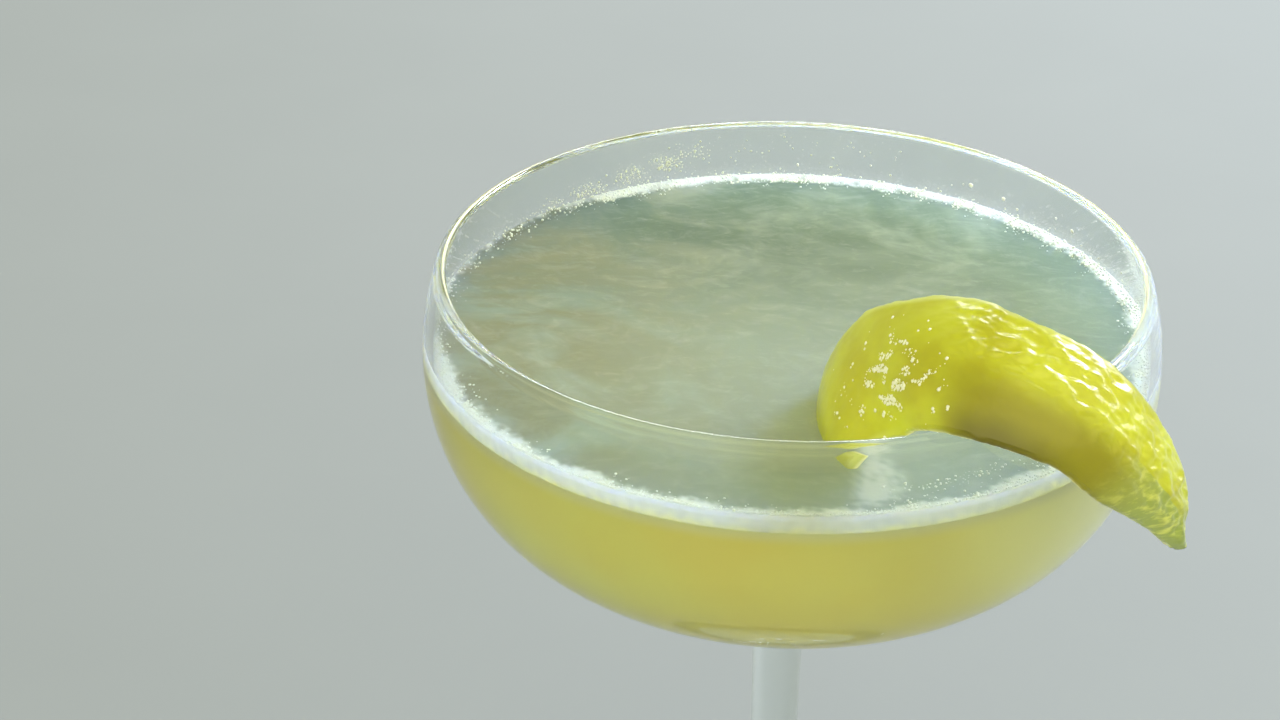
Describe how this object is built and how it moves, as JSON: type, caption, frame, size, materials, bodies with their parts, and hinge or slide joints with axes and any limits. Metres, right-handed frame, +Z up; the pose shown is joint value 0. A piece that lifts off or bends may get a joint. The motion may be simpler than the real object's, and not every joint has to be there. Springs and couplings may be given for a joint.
{
  "type": "cocktail in a coupe glass",
  "caption": "Pale lemon and honey cocktail under a foam cap in a stemmed coupe glass, with a curled strip of lemon peel over the rim.",
  "frame": {"origin": "middle of the foot's underside, on the surface it stands on", "axes": "+Z up along the stem, -Y towards the viewer, +X to the viewer's right, where the peel hangs"},
  "size_m": [0.094, 0.094, 0.1492],
  "materials": {
    "clear_glass": "polished clear soda-lime glass",
    "drink": "cloudy pale lemon yellow liquid",
    "foam": "fine wet white foam over the drink",
    "lemon_zest": "waxy wet pitted lemon zest with pale pith"
  },
  "bodies": {
    "root": {"coupe_glass": "clear_glass", "cocktail_drink": "drink", "foam_cap": "foam", "lemon_peel_twist": "lemon_zest"}
  },
  "joints": []
}
